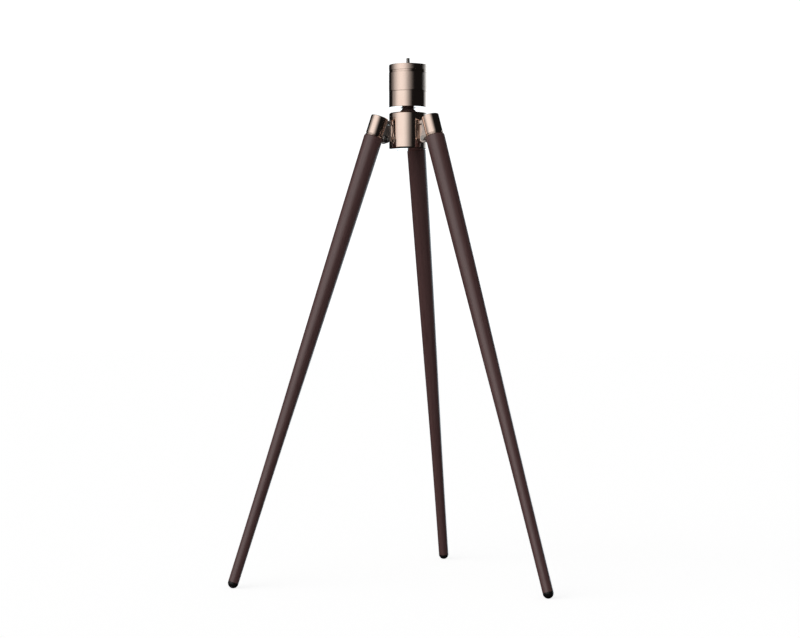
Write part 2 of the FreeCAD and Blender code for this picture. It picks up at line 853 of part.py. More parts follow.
keep("camera_screw", turned("camera_screw", [
    (0, pad_floor - size["stud_flange_height"]),
    (size["recess_radius"] - 0.05, pad_floor - size["stud_flange_height"]),
    (size["recess_radius"] - 0.05, pad_floor),
    (size["stud_collar"], pad_floor),
    (size["stud_collar"], size["platform_top"]),
    (size["stud_radius"], size["platform_top"]),
    (size["stud_radius"], size["stud_top"] - size["stud_chamfer"]),
    (size["stud_radius"] - size["stud_chamfer"], size["stud_top"]),
    (0, size["stud_top"]),
]))


# ---------------------------------------------------------------- check and export
doc.recompute()
for part in doc.Objects:
    if "Invalid" in part.State or "Error" in part.State:
        raise RuntimeError(f"{part.Name}: {part.State}")
os.makedirs("parts", exist_ok=True)
for node, part in nodes.items():
    if part.Shape.isNull() or not part.Shape.isValid():
        raise RuntimeError(f"{node} has no valid shape")
    part.Shape.exportStep(f"parts/{node}.step")
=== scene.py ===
"""Wooden field tripod: the looks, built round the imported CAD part. Lengths are in metres."""

import json
import math

import bmesh
import bpy
from mathutils import Matrix, Vector

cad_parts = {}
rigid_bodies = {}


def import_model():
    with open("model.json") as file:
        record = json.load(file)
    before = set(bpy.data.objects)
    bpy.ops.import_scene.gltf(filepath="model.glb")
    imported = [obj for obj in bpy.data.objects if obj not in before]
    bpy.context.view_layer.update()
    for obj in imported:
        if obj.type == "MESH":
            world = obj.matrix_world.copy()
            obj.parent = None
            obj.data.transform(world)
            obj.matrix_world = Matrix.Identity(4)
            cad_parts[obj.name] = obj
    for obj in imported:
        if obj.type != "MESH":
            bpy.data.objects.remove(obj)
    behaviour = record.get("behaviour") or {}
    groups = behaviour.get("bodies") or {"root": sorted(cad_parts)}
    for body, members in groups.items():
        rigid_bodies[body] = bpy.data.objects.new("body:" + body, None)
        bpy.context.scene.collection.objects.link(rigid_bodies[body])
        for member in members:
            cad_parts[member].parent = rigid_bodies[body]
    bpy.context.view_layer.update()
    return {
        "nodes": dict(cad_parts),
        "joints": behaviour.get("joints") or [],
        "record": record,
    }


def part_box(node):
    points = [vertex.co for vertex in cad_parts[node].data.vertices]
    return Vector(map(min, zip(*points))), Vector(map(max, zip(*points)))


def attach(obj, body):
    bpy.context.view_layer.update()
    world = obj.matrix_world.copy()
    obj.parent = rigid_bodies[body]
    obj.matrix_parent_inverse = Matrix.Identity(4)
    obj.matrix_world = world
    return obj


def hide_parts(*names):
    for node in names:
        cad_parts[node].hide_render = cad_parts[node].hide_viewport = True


for leftover in list(bpy.data.objects):
    bpy.data.objects.remove(leftover)
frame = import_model()
MM = 0.001


# ---------------------------------------------------------------- where things are
def middle(node):
    low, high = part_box(node)
    return (low + high) / 2


def joint(name):
    return next(j for j in frame["joints"] if j["name"] == name)


def extent(node, place):
    """Lowest and highest corner of a CAD node, seen from a piece's own frame."""
    inside = place.inverted()
    points = [inside @ vertex.co for vertex in frame["nodes"][node].data.vertices]
    return Vector(map(min, *points)), Vector(map(max, *points))


SIDES = ("rear", "left", "right")
axis_point = middle("camera_screw").xy.to_3d()
AXIS = Matrix.Translation(axis_point)
AZIMUTH = {}
for side in SIDES:
    hinge_line = joint(f"leg_{side}_fold")["axis"]
    AZIMUTH[side] = math.atan2(-hinge_line[0], hinge_line[1])


def swung(side):
    """The tripod axis, turned so that X points along this leg's azimuth."""
    return AXIS @ Matrix.Rotation(AZIMUTH[side], 4, "Z")


# A leg's frame: origin at the foot's tip, Z up the leg, X inwards.
foot_low, foot_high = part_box("foot_tip_rear")
FOOT_RADIUS = (foot_high.x - foot_low.x) / 2
foot_centre = Vector((axis_point.x, foot_high.y - FOOT_RADIUS, foot_low.z + FOOT_RADIUS))
up_leg = (middle("hanger_bolt_rear") - foot_centre).normalized()
sideways = Vector((1, 0, 0))
rear_frame = Matrix((sideways.cross(up_leg), sideways, up_leg)).transposed().to_4x4()
if rear_frame.col[0].y > 0:
    sideways = -sideways
    rear_frame = Matrix((sideways.cross(up_leg), sideways, up_leg)).transposed().to_4x4()
rear_frame.translation = foot_centre - up_leg * FOOT_RADIUS


def leg_frame(side):
    turn = Matrix.Rotation(AZIMUTH[side] - AZIMUTH["rear"], 4, "Z")
    return AXIS @ turn @ AXIS.inverted() @ rear_frame


def hinge_frame(side):
    """Origin at the hinge, Z along its pin towards the screw's head."""
    pin = joint(f"leg_{side}_fold")
    along = Vector(pin["axis"])
    upright = Vector((0, 0, 1))
    place = Matrix((upright.cross(along), along.cross(upright.cross(along)), along))
    place = place.transposed().to_4x4()
    place.translation = Vector(pin["pos_m"])
    return place


# ---------------------------------------------------------------- mesh tools
def finished(name, mesh_data, place, body, material, replaces=()):
    """Make the object, put it in its place, hang it on its body and hide the CAD parts it replaces."""
    mesh = bpy.data.meshes.new(name)
    bmesh.ops.recalc_face_normals(mesh_data, faces=mesh_data.faces)
    mesh_data.to_mesh(mesh)
    mesh_data.free()
    for polygon in mesh.polygons:
        polygon.use_smooth = True
    mesh.set_sharp_from_angle(angle=math.radians(32))
    piece = bpy.data.objects.new(name, mesh)
    bpy.context.scene.collection.objects.link(piece)
    piece.matrix_world = place
    mesh.materials.append(material)
    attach(piece, body)
    if replaces:
        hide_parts(*replaces)
    return piece


def arc(centre, radius, start, stop, steps):
    """Points round a circle in the outline's plane, angles in degrees from +radius."""
    points = []
    for step in range(steps + 1):
        turn = math.radians(start + (stop - start) * step / steps)
        points.append((centre[0] + radius * math.cos(turn), centre[1] + radius * math.sin(turn)))
    return points


def hollowed(first, last, radius, steps):
    """A hollow arc between two points, curving in towards the axis."""
    first, last = Vector(first), Vector(last)
    chord = last - first
    depth = math.sqrt(radius**2 - chord.length_squared / 4)
    centre = (first + last) / 2 + Vector((chord.y, -chord.x)).normalized() * depth
    start, stop = first - centre, last - centre
    begin = math.degrees(math.atan2(start.y, start.x))
    turn = math.degrees(math.atan2(start.cross(stop), start.dot(stop)))
    return arc(centre, radius, begin, begin + turn, steps)


def corner(before, at, after, radius, steps=5):
    """The arc that rounds one corner of an outline."""
    at, before, after = Vector(at), Vector(before), Vector(after)
    back, ahead = (before - at).normalized(), (after - at).normalized()
    half = back.angle(ahead) / 2
    reach = min(radius / math.tan(half), 0.45 * (before - at).length, 0.45 * (after - at).length)
    centre = at + (back + ahead).normalized() * reach / math.cos(half)
    start, stop = at + back * reach - centre, at + ahead * reach - centre
    first = math.degrees(math.atan2(start.y, start.x))
    turn = math.degrees(math.atan2(start.cross(stop), start.dot(stop)))
    return arc(centre, start.length, first, first + turn, steps)


def outline(points, loop=False, hold=0.12 * MM):
    """Outline of (x, y) or (x, y, round) points, with extra points that hold long faces flat."""
    count = len(points)
    path = []
    for index, point in enumerate(points):
        inner = loop or 0 < index < count - 1
        if len(point) == 3 and inner:
            before, after = points[index - 1], points[(index + 1) % count]
            path += corner(before[:2], point[:2], after[:2], point[2])
        else:
            path.append(tuple(point[:2]))
    held = []
    pairs = zip(path, path[1:] + path[:1]) if loop else zip(path, path[1:])
    for first, second in pairs:
        first, second = Vector(first), Vector(second)
        span = (second - first).length
        held.append(tuple(first))
        if span > 8 * hold:
            held.append(tuple(first.lerp(second, hold / span)))
            held.append(tuple(second.lerp(first, hold / span)))
    if not loop:
        held.append(path[-1])
    return held


def lathe(points, steps=192, loop=False, relief=None):
    """Turn an outline of (radius, height) round Z. relief(radius, height, angle) reshapes it."""
    mesh_data = bmesh.new()
    rings = []
    for radius, height in points:
        if radius < 1e-7:
            rings.append([mesh_data.verts.new((0, 0, height))])
            continue
        ring = []
        for step in range(steps):
            angle = 2 * math.pi * step / steps
            here = relief(radius, height, angle) if relief else radius
            ring.append(
                mesh_data.verts.new((here * math.cos(angle), here * math.sin(angle), height))
            )
        rings.append(ring)
    pairs = list(zip(rings, rings[1:]))
    if loop:
        pairs.append((rings[-1], rings[0]))
    for lower, upper in pairs:
        for step in range(steps):
            after = (step + 1) % steps
            face = [lower[step % len(lower)], lower[after % len(lower)]]
            face += [upper[after % len(upper)], upper[step % len(upper)]]
            mesh_data.faces.new(list(dict.fromkeys(face)))
    return mesh_data


def upright(mesh_data, place):
    """Turn a piece's mesh from its place into the tripod's own directions, for a tight box."""
    bmesh.ops.transform(mesh_data, matrix=AXIS.inverted() @ place, verts=mesh_data.verts)
    return mesh_data


def slab(points, low, high, mesh_data=None):
    """An outline of (x, z) points made solid from y = low to y = high."""
    mesh_data = mesh_data or bmesh.new()
    near = [mesh_data.verts.new((x, low, z)) for x, z in points]
    far = [mesh_data.verts.new((x, high, z)) for x, z in points]
    mesh_data.faces.new(near)
    mesh_data.faces.new(list(reversed(far)))
    for index in range(len(points)):
        after = (index + 1) % len(points)
        mesh_data.faces.new((near[index], near[after], far[after], far[index]))
    return mesh_data


def eased(piece, width, segments=3):
    """Round a piece's edges a little, and keep its flat faces flat."""
    bevel = piece.modifiers.new("eased_edges", "BEVEL")
    bevel.width = width
    bevel.segments = segments
    bevel.limit_method = "ANGLE"
    bevel.angle_limit = math.radians(40)
    bevel.harden_normals = True
    return piece


def hexagon(radius, angle):
    """Distance from the centre to a hexagon's side, for its corner radius."""
    turn = angle % (math.pi / 3) - math.pi / 6
    return radius * math.cos(math.pi / 6) / math.cos(turn)


# ---------------------------------------------------------------- materials
class Nodes:
    """A small helper that builds one material's node tree."""

    def __init__(self, name, place=None):
        self.place = place
        self.material = bpy.data.materials.new(name)
        self.material.use_nodes = True
        self.tree = self.material.node_tree
        self.shader = self.tree.nodes["Principled BSDF"]

    def add(self, kind, inputs=None, **settings):
        node = self.tree.nodes.new(kind)
        for key, value in settings.items():
            setattr(node, key, value)
        for key, value in (inputs or {}).items():
            if isinstance(value, bpy.types.NodeSocket):
                self.tree.links.new(value, node.inputs[key])
            else:
                node.inputs[key].default_value = value
        return node

    def math(self, operation, first, second=0.0):
        return self.add("ShaderNodeMath", {0: first, 1: second}, operation=operation).outputs[0]

    def object_point(self, scale=(1, 1, 1), shift=(0, 0, 0)):
        here = self.add("ShaderNodeTexCoord").outputs["Object"]
        if self.place:
            inside = (AXIS.inverted() @ self.place).inverted()
            inputs = {"Vector": here, "Location": inside.translation, "Rotation": inside.to_euler()}
            here = self.add("ShaderNodeMapping", inputs).outputs[0]
        moved = self.add(
            "ShaderNodeMapping", {"Vector": here, "Scale": scale, "Location": shift}
        )
        return moved.outputs[0]

    def noise(self, point, scale, detail=3.0, roughness=0.5, distortion=0.0):
        inputs = {"Vector": point, "Scale": scale, "Detail": detail}
        inputs.update({"Roughness": roughness, "Distortion": distortion})
        return self.add("ShaderNodeTexNoise", inputs).outputs[0]

    def spread(self, value, low, high, from_low=0.3, from_high=0.7):
        inputs = {0: value, 1: from_low, 2: from_high, 3: low, 4: high}
        return self.add("ShaderNodeMapRange", inputs).outputs[0]

    def blend(self, factor, first, second):
        node = self.add("ShaderNodeMix", {0: factor}, data_type="RGBA")
        for socket, value in ((node.inputs[6], first), (node.inputs[7], second)):
            if isinstance(value, bpy.types.NodeSocket):
                self.tree.links.new(value, socket)
            else:
                socket.default_value = (*value, 1)
        return node.outputs[2]

    def bump(self, height, distance, strength=1.0):
        inputs = {"Height": height, "Distance": distance, "Strength": strength}
        return self.add("ShaderNodeBump", inputs).outputs[0]

    def wire(self, socket, value):
        if isinstance(value, bpy.types.NodeSocket):
            self.tree.links.new(value, self.shader.inputs[socket])
        else:
            self.shader.inputs[socket].default_value = value

    def round_axis(self, scale):
        """A point that changes only with distance from the axis and with height."""
        here = self.add("ShaderNodeTexCoord").outputs["Object"]
        flat = self.add("ShaderNodeVectorMath", {0: here, 1: (1, 1, 0)}, operation="MULTIPLY")
        out = self.add("ShaderNodeVectorMath", {0: flat.outputs[0]}, operation="LENGTH")
        height = self.add("ShaderNodeSeparateXYZ", {0: here}).outputs[2]
        point = self.add("ShaderNodeCombineXYZ", {0: out.outputs["Value"], 2: height})
        return self.add(
            "ShaderNodeVectorMath", {0: point.outputs[0], 1: (scale,) * 3}, operation="MULTIPLY"
        ).outputs[0]


def turned_metal(name, bright, deep, rough, shine=1.0, marks=0.003):
    """Lathe-turned metal: faint tool marks round the axis and a slightly uneven polish."""
    nodes = Nodes(name)
    patches = nodes.noise(nodes.object_point(), 45.0, 4.0)
    lines = nodes.noise(nodes.round_axis(2600.0), 1.0, 2.0)
    nodes.wire("Base Color", nodes.blend(nodes.spread(patches, 0, 1), deep, bright))
    polish = nodes.math("ADD", nodes.math("MULTIPLY", patches, 0.5), nodes.math("MULTIPLY", lines, 0.5))
    nodes.wire("Roughness", nodes.spread(polish, rough * 0.82, rough * 1.18))
    nodes.wire("Normal", nodes.bump(lines, marks * MM, 0.6))
    nodes.wire("Metallic", shine)
    return nodes.material


def stained_wood(name, shift, place):
    """Dark stained hardwood: long fibres, broad figure and short open pores."""
    nodes = Nodes(name, place)
    figure = nodes.noise(nodes.object_point((1, 1, 0.03), (shift, 0, shift)), 190.0, 3.0, 0.55, 0.6)
    fibres = nodes.noise(nodes.object_point((1, 1, 0.018), (0, shift, 0)), 1500.0, 4.0, 0.6)
    pores = nodes.noise(nodes.object_point((1, 1, 0.05), (shift, shift, 0)), 2900.0, 2.0, 0.4)
    pits = nodes.spread(pores, 0, 1, 0.60, 0.70)
    colour = nodes.blend(nodes.spread(figure, 0, 1), (0.135, 0.060, 0.059), (0.205, 0.104, 0.100))
    colour = nodes.blend(nodes.spread(fibres, 0, 0.55), colour, (0.245, 0.130, 0.124))
    colour = nodes.blend(nodes.math("MULTIPLY", pits, 0.6), colour, (0.075, 0.033, 0.032))
    nodes.wire("Base Color", colour)
    nodes.wire("Roughness", nodes.spread(fibres, 0.29, 0.38))
    relief = nodes.math("SUBTRACT", nodes.math("MULTIPLY", fibres, 0.4), pits)
    nodes.wire("Normal", nodes.bump(relief, 0.03 * MM, 0.5))
    nodes.wire("Specular IOR Level", 0.85)
    return nodes.material


def moulded_rubber(name, colour, rough):
    nodes = Nodes(name)
    specks = nodes.noise(nodes.object_point(), 2400.0, 3.0)
    patches = nodes.noise(nodes.object_point(), 90.0, 3.0)
    lighter = tuple(min(1.0, channel * 1.7) for channel in colour)
    nodes.wire("Base Color", nodes.blend(nodes.spread(patches, 0, 1), colour, lighter))
    nodes.wire("Roughness", nodes.spread(patches, rough - 0.06, rough + 0.06))
    nodes.wire("Normal", nodes.bump(specks, 0.02 * MM, 0.5))
    return nodes.material


CHAMPAGNE = turned_metal("champagne_metal", (0.92, 0.735, 0.635), (0.89, 0.70, 0.60), 0.13)
DARK_METAL = turned_metal("dark_metal", (0.22, 0.15, 0.14), (0.17, 0.115, 0.11), 0.30, 0.2)
STEEL = turned_metal("bright_steel", (0.66, 0.64, 0.61), (0.57, 0.55, 0.52), 0.22)
SATIN = turned_metal("champagne_satin", (0.82, 0.74, 0.69), (0.74, 0.67, 0.62), 0.34)
LINER = moulded_rubber("liner_plastic", (0.60, 0.59, 0.56), 0.45)
RUBBER = moulded_rubber("foot_rubber", (0.010, 0.009, 0.009), 0.34)
PAD = moulded_rubber("platform_rubber", (0.012, 0.011, 0.011), 0.62)
WOOD = {
    side: stained_wood(f"stained_wood_{side}", 0.37 * index, leg_frame(side))
    for index, side in enumerate(SIDES)
}


# ---------------------------------------------------------------- legs
ring_low, ring_high = extent("leg_ring_rear", rear_frame)
cap_high = extent("leg_cap_rear", rear_frame)[1]
wood_low, wood_high = extent("leg_shaft_rear", rear_frame)
pin_spot = rear_frame.inverted() @ Vector(joint("leg_rear_fold")["pos_m"])
hub_low, hub_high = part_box("hub_body")
HUB_RADIUS = 32.0 * MM
WAIST = 325 * MM
WAIST_RADIUS = 11.05 * MM
# Radii of the long curves below and above the waist, in metres.
WOOD_HOLLOW = 27.7
WOOD_SWELL = 55.7
CURVE_STEPS = 24
EAR_RADIUS = 7.6 * MM
EAR_HALF_WIDTH = 7.6 * MM
SLOT_HALF_WIDTH = 5.15 * MM
EAR_BACK = 16.2 * MM
EAR_SLOPE = math.radians(50)
PAD_INWARD = 15.8 * MM
SLOT_FLOOR = 14.35 * MM
STOP_BOTTOM = 811.5 * MM
STOP_TOP = 817.0 * MM
tilt = up_leg.angle(Vector((0, 0, 1)))


def stop_face(along):
    """Inward distance at which the stop stands just clear of the hub."""
    reach = (foot_centre - axis_point).xy.length - (along - FOOT_RADIUS) * math.sin(tilt)
    return (reach - HUB_RADIUS - 0.2 * MM) / math.cos(tilt)


def bowed(first, last, radius, side):
    """A long shallow curve between two points of a leg's outline; side 1 swells outwards."""
    first, last = Vector(first), Vector(last)
    chord = last - first
    outwards = Vector((chord.y, -chord.x)).normalized()
    points = []
    for step in range(CURVE_STEPS + 1):
        along = chord.length * (step / CURVE_STEPS - 0.5)
        depth = (chord.length**2 / 4 - along**2) / (2 * radius)
        spot = (first + last) / 2 + chord.normalized() * along + outwards * depth * side
        points.append(tuple(spot))
    return points


def wood_leg(side, body):
    top = ring_low.z - 0.05 * MM
    foot_joint = wood_low.z
    waist = (WAIST_RADIUS, WAIST)
    curve = bowed((FOOT_RADIUS, foot_joint), waist, WOOD_HOLLOW, -1)
    curve += bowed(waist, (wood_high.x, top), WOOD_SWELL, 1)[1:]
    points = outline([
        (0, foot_joint),
        (*curve[0], 0.3 * MM),
        *curve[1:-1],
        (*curve[-1], 0.7 * MM),
        (0, top),
    ])
    mesh_data = upright(lathe(points, 128), leg_frame(side))
    finished(f"wood_leg_{side}", mesh_data, AXIS, body, WOOD[side],
             [f"leg_shaft_{side}"])


def rubber_foot(side, body):
    top = wood_low.z - 0.05 * MM
    ball = arc((0, FOOT_RADIUS), FOOT_RADIUS, -90, 0, 24)
    points = ball + outline([
        (FOOT_RADIUS, top - 0.5 * MM),
        (FOOT_RADIUS, top, 0.25 * MM),
        (0, top),
    ])[1:]
    mesh_data = upright(lathe(points, 128), leg_frame(side))
    finished(f"rubber_foot_{side}", mesh_data, AXIS, body, RUBBER,
             [f"foot_tip_{side}"])


def bead_ring(side, body):
    bottom, top, radius = ring_low.z, ring_high.z, ring_high.x
    bead = (top - bottom) / 2
    points = outline([
        (11.0 * MM, bottom),
        (radius - 1.5 * MM, bottom),
        (radius - 1.5 * MM, bottom + 0.2 * MM),
    ])
    points += arc((radius - bead * 0.92, bottom + bead), bead * 0.92, -80, 80, 14)
    points += outline([
        (radius - 1.5 * MM, top - 0.2 * MM),
        (radius - 1.5 * MM, top),
        (11.0 * MM, top),
    ])
    finished(f"bead_ring_{side}", lathe(points, 192, loop=True), leg_frame(side), body,
             CHAMPAGNE, [f"leg_ring_{side}"])


def cap_shell(side, body):
    bottom = ring_high.z + 0.1 * MM
    top, radius = cap_high.z, cap_high.y
    points = outline([
        (0, bottom),
        (radius - 0.8 * MM, bottom, 0.15 * MM),
        (radius - 0.8 * MM, bottom + 1.2 * MM),
        (radius, bottom + 1.35 * MM, 0.2 * MM),
        (radius, top, 1.0 * MM),
        (radius - 2.6 * MM, top, 0.2 * MM),
        (radius - 3.0 * MM, top - 0.35 * MM, 0.2 * MM),
        (0, top - 0.35 * MM),
    ])
    finished(f"cap_shell_{side}", lathe(points, 192), leg_frame(side), body, CHAMPAGNE,
             [f"leg_cap_{side}"])


def cap_hinge(side, body):
    """Two ears round the pin, the pad behind them and the stop above."""
    root = cap_high.y - 2.0 * MM
    pin = (pin_spot.x, pin_spot.z)
    back = pin[0] - EAR_BACK
    low_turn = -90 - math.degrees(math.asin(back / EAR_RADIUS))
    ear = [(root, ring_high.z + 1.3 * MM), (EAR_BACK, ring_high.z + 1.3 * MM)]
    ear += arc(pin, EAR_RADIUS, low_turn, math.degrees(EAR_SLOPE), 40)
    round_end = ear[-1]
    rise = (round_end[0] - PAD_INWARD) / math.tan(EAR_SLOPE)
    ear += [(PAD_INWARD, round_end[1] + rise), (PAD_INWARD, STOP_BOTTOM), (root, STOP_BOTTOM)]
    mesh_data = slab(ear, SLOT_HALF_WIDTH, EAR_HALF_WIDTH)
    slab(ear, -EAR_HALF_WIDTH, -SLOT_HALF_WIDTH, mesh_data)
    eased(finished(f"cap_ears_{side}", mesh_data, leg_frame(side), body, SATIN), 0.35 * MM)
    nose = [
        (root, ring_high.z + 1.3 * MM),
        (SLOT_FLOOR, ring_high.z + 1.3 * MM),
        (SLOT_FLOOR, STOP_BOTTOM),
        (stop_face(STOP_BOTTOM), STOP_BOTTOM),
        (stop_face(STOP_TOP), STOP_TOP),
        (root, STOP_TOP),
    ]
    inset = 0.3 * MM
    eased(finished(f"cap_stop_{side}", slab(nose, inset - EAR_HALF_WIDTH, EAR_HALF_WIDTH - inset),
                   leg_frame(side), body, SATIN), 0.5 * MM, 4)


for side in SIDES:
    body = f"leg_{side}"
    wood_leg(side, body)
    rubber_foot(side, body)
    bead_ring(side, body)
    cap_shell(side, body)
    cap_hinge(side, body)


# ---------------------------------------------------------------- hinge screws and nuts
GRIP = EAR_HALF_WIDTH + 0.15 * MM
SCREW_HEAD = {"radius": 5.2 * MM, "height": 1.9 * MM, "round": 0.9 * MM}
SOCKET_RADIUS = 2.3 * MM
NUT_RADIUS = 4.6 * MM
NUT_HEIGHT = 2.3 * MM


def hinge_screw():
    """Round head with a turned ring and a hexagon socket, on its shouldered shank."""
    top = GRIP + SCREW_HEAD["height"]
    radius = SCREW_HEAD["radius"]
    points = outline([
        (0, -GRIP - NUT_HEIGHT - 0.3 * MM),
        (2.45 * MM, -GRIP - NUT_HEIGHT - 0.3 * MM, 0.4 * MM),
        (2.45 * MM, GRIP),
        (radius, GRIP, 0.15 * MM),
        (radius, top, SCREW_HEAD["round"]),
        (radius - 1.5 * MM, top, 0.1 * MM),
        (radius - 1.7 * MM, top - 0.35 * MM, 0.1 * MM),
        (radius - 2.1 * MM, top - 0.35 * MM, 0.1 * MM),
        (radius - 2.3 * MM, top, 0.1 * MM),
        (SOCKET_RADIUS, top, 0.15 * MM),
        (SOCKET_RADIUS - 0.1 * MM, top - 1.2 * MM),
        (0, top - 1.2 * MM),
    ])

    def relief(radius, height, angle):
        inside = 0 < radius <= SOCKET_RADIUS * 1.001 and height > top - 1.3 * MM
        return hexagon(radius, angle) if inside else radius

    return lathe(points, 96, relief=relief)


def hinge_nut():
    """Hexagon nut whose corners are chamfered on both faces."""
    bottom = -GRIP - NUT_HEIGHT
    points = outline([
        (2.5 * MM, bottom),
        (NUT_RADIUS * 0.86, bottom),
        (NUT_RADIUS, bottom + 0.4 * MM),
        (NUT_RADIUS, -GRIP - 0.4 * MM),
        (NUT_RADIUS * 0.86, -GRIP),
        (2.5 * MM, -GRIP),
    ], loop=True)

    def relief(radius, height, angle):
        return min(radius, hexagon(NUT_RADIUS, angle))

    return lathe(points, 96, loop=True, relief=relief)


def joined(name, maker, places, material, body, replaces):
    """The same small piece in several places, as one object round the tripod's axis."""
    whole = bmesh.new()
    for place in places:
        one = maker()
        bmesh.ops.transform(one, matrix=AXIS.inverted() @ place, verts=one.verts)
        loose = bpy.data.meshes.new("loose")
        one.to_mesh(loose)
        one.free()
        whole.from_mesh(loose)
        bpy.data.meshes.remove(loose)
    return finished(name, whole, AXIS, body, material, replaces)


hinges = [hinge_frame(side) for side in SIDES]
joined("hinge_screw_set", hinge_screw, hinges, STEEL, "hub", ["hinge_screws"])
joined("hinge_nut_set", hinge_nut, hinges, STEEL, "hub", ["hinge_nuts"])


# ---------------------------------------------------------------- hub
HUB_ROUND = 4.5 * MM
HUB_CHAMFER = 1.5 * MM
PLATE_RADIUS = 25.9 * MM
PLATE_RECESS = 4.15 * MM
WEB_HALF_WIDTH = 5.0 * MM
WEB_END_RADIUS = 4.8 * MM
WEB_TOP = 765.0 * MM
SCREW_CIRCLE = 24.0 * MM
BASE_HEAD_RADIUS = 1.9 * MM
BASE_HEAD_HEIGHT = 1.3 * MM
BASE_SHANK_RADIUS = 1.45 * MM
BASE_SOCKET_RADIUS = 0.9 * MM
BASE_SOCKET_DEPTH = 0.7 * MM


def hub_drum():
    low, high = hub_low.z, hub_high.z
    points = outline([
        (0, low + PLATE_RECESS),
        (PLATE_RADIUS + 0.1 * MM, low + PLATE_RECESS),
        (PLATE_RADIUS + 0.1 * MM, low, 0.15 * MM),
        (HUB_RADIUS, low, HUB_ROUND),
        (HUB_RADIUS, high - HUB_CHAMFER, 0.4 * MM),
        (HUB_RADIUS - HUB_CHAMFER, high, 0.4 * MM),
        (0, high),
    ])
    finished("hub_drum", lathe(points, 256), AXIS, "hub", CHAMPAGNE, ["hub_body"])


def hub_web(side):
    """Flat web that the leg's ears straddle, rounded about the pin."""
    place = swung(side)
    pin = place.inverted() @ Vector(joint(f"leg_{side}_fold")["pos_m"])
    lean = math.degrees(tilt)
    points = [(HUB_RADIUS - 2 * MM, pin.z - WEB_END_RADIUS)]
    points += arc((pin.x, pin.z), WEB_END_RADIUS, -90, lean, 24)
    face_start = points[-1]
    top_x = face_start[0] - (WEB_TOP - face_start[1]) * math.tan(tilt)
    points += [(top_x, WEB_TOP), (HUB_RADIUS - 2 * MM, WEB_TOP)]
    eased(finished(f"hub_web_{side}", slab(points, -WEB_HALF_WIDTH, WEB_HALF_WIDTH), place,
                   "hub", SATIN), 0.4 * MM)


def base_screw():
    """Low round head with a hexagon socket, sunk in the base plate."""
    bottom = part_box("base_screws")[0].z
    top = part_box("base_screws")[1].z
    points = outline([
        (0, bottom + BASE_SOCKET_DEPTH),
        (BASE_SOCKET_RADIUS - 0.05 * MM, bottom + BASE_SOCKET_DEPTH),
        (BASE_SOCKET_RADIUS, bottom, 0.1 * MM),
        (BASE_HEAD_RADIUS, bottom, 0.5 * MM),
        (BASE_HEAD_RADIUS, bottom + BASE_HEAD_HEIGHT),
        (BASE_SHANK_RADIUS, bottom + BASE_HEAD_HEIGHT),
        (BASE_SHANK_RADIUS, top, 0.3 * MM),
        (0, top),
    ])

    def relief(radius, height, angle):
        in_socket = height < bottom + BASE_SOCKET_DEPTH + 0.1 * MM
        inside = 0 < radius < BASE_SOCKET_RADIUS + 0.01 * MM and in_socket
        return hexagon(radius, angle) if inside else radius

    return lathe(points, 48, relief=relief)


hub_drum()
for side in SIDES:
    hub_web(side)
between = [
    swung(side) @ Matrix.Rotation(math.pi / 3, 4, "Z") @ Matrix.Translation((SCREW_CIRCLE, 0, 0))
    for side in SIDES
]
joined("base_screw_set", base_screw, between, STEEL, "hub", ["base_screws"])


# ---------------------------------------------------------------- ball head
BALL_RADIUS = 17.0 * MM
NECK_RADIUS = 8.5 * MM
FLARE_RADIUS = 15.5 * MM
FLARE_TOP = 796.4 * MM
FLARE_CURVE = 60.0 * MM
HEAD_RADIUS = (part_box("head_housing")[1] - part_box("head_housing")[0]).x / 2
MOUTH_RADIUS = 13.2 * MM
MOUTH_THROAT = 14.0 * MM
SEAT_BOTTOM = 801.4 * MM
HEAD_EDGE = 0.4 * MM
CORE_RADIUS = 27.1 * MM
LOCK_INNER = 27.4 * MM


def ball_and_stem():
    low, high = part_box("ball_stem")
    centre = high.z - BALL_RADIUS
    foot = low.z + 1.1 * MM
    bend = hollowed((FLARE_RADIUS, foot), (NECK_RADIUS, FLARE_TOP), FLARE_CURVE, 14)
    meet = math.acos(NECK_RADIUS / BALL_RADIUS)
    points = outline([
        (0, low.z),
        (FLARE_RADIUS, low.z, 0.2 * MM),
        (FLARE_RADIUS, foot),
    ])[:-1]
    points += bend
    points += arc((0, centre), BALL_RADIUS, -math.degrees(meet), 90, 48)[:-1]
    points.append((0, high.z))
    finished("ball_and_stem", lathe(points, 192), AXIS, "ball", DARK_METAL,
             ["ball_stem"])


def head_shell():
    low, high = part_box("head_housing")
    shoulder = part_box("lock_ring")[0].z - 0.15 * MM
    points = outline([
        (MOUTH_THROAT, SEAT_BOTTOM, 0.3 * MM),
        (MOUTH_RADIUS, low.z, 0.3 * MM),
        (HEAD_RADIUS, low.z, HEAD_EDGE),
        (HEAD_RADIUS, shoulder, 0.3 * MM),
        (CORE_RADIUS, shoulder),
        (CORE_RADIUS, high.z, 0.3 * MM),
        (20 * MM, high.z, 0.3 * MM),
        (20 * MM, SEAT_BOTTOM),
    ], loop=True)
    finished("head_shell", lathe(points, 256, loop=True), AXIS, "head", CHAMPAGNE,
             ["head_housing"])


FLUTES = 108
FLUTE_STEPS = 8
FLUTE_DEPTH = 0.10 * MM


def fluted(outer, bottom, top):
    """Fine rounded ridges round a rim, run out before its edges."""
    runout = 0.5 * MM

    def relief(radius, height, angle):
        if radius < outer - 0.05 * MM or not bottom < height < top:
            return radius
        groove = 0.5 - 0.5 * math.cos(angle * FLUTES)
        depth = min(1.0, (height - bottom) / runout, (top - height) / runout)
        return radius - FLUTE_DEPTH * groove * max(depth, 0.0)

    return relief


